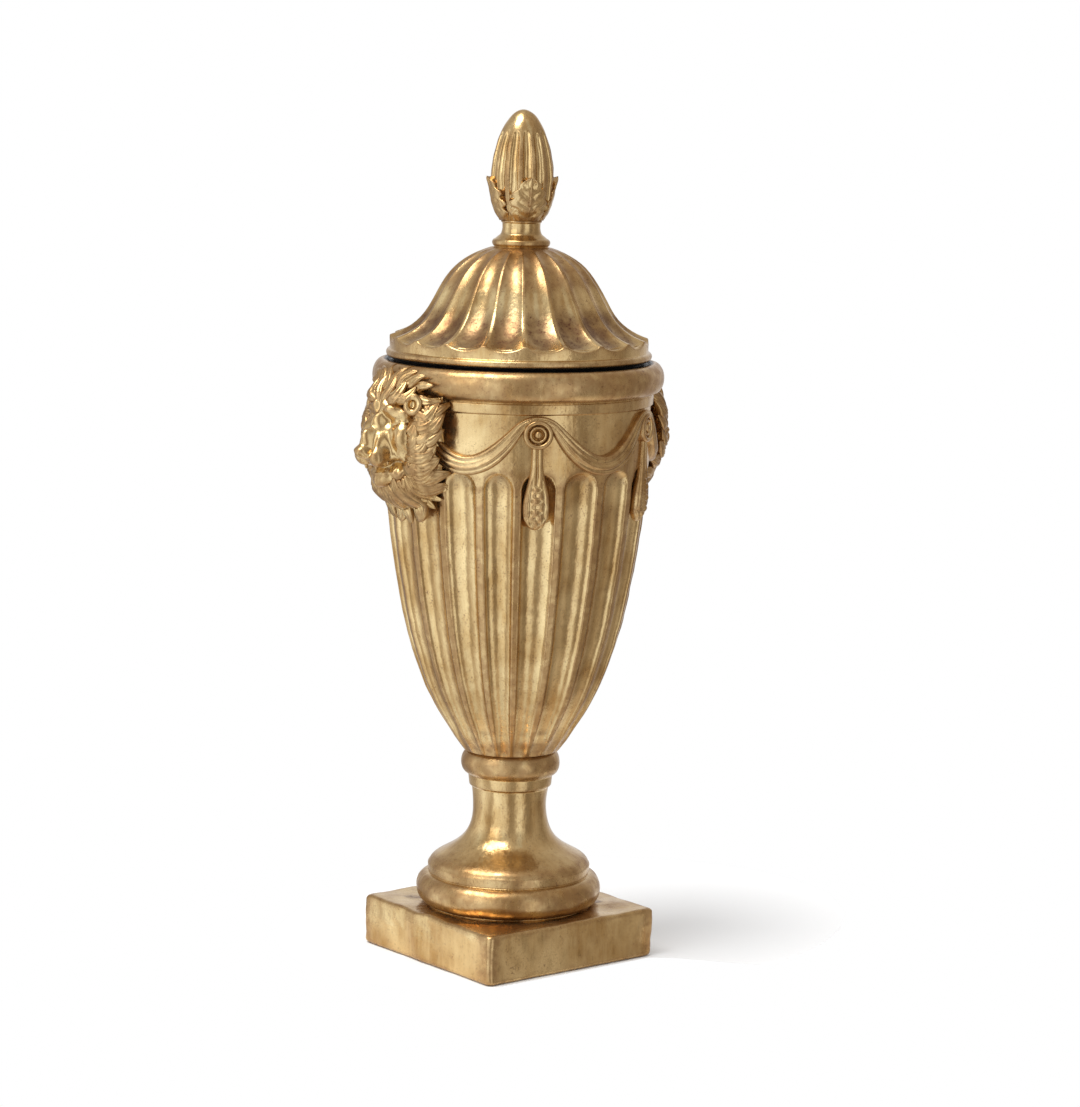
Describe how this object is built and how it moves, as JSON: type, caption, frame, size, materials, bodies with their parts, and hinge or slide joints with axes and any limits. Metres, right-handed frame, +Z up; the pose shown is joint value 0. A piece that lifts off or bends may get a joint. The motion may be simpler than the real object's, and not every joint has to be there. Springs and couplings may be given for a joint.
{
  "type": "mantel urn",
  "caption": "Lidded gilt mantel urn with a fluted bowl, lion masks, swags and tassels on a square plinth; the fluted lid lifts off.",
  "frame": {"origin": "middle of the plinth's underside", "axes": "+Z up through the finial, -Y the front between the two lion masks, +X and -X out through the masks"},
  "size_m": [0.234, 0.171, 0.5],
  "materials": {
    "gilding": "gold leaf over a red clay ground on cast resin, rubbed to a soft gloss"
  },
  "bodies": {
    "root": {"urn_body": "gilding", "lid": "gilding"}
  },
  "joints": []
}
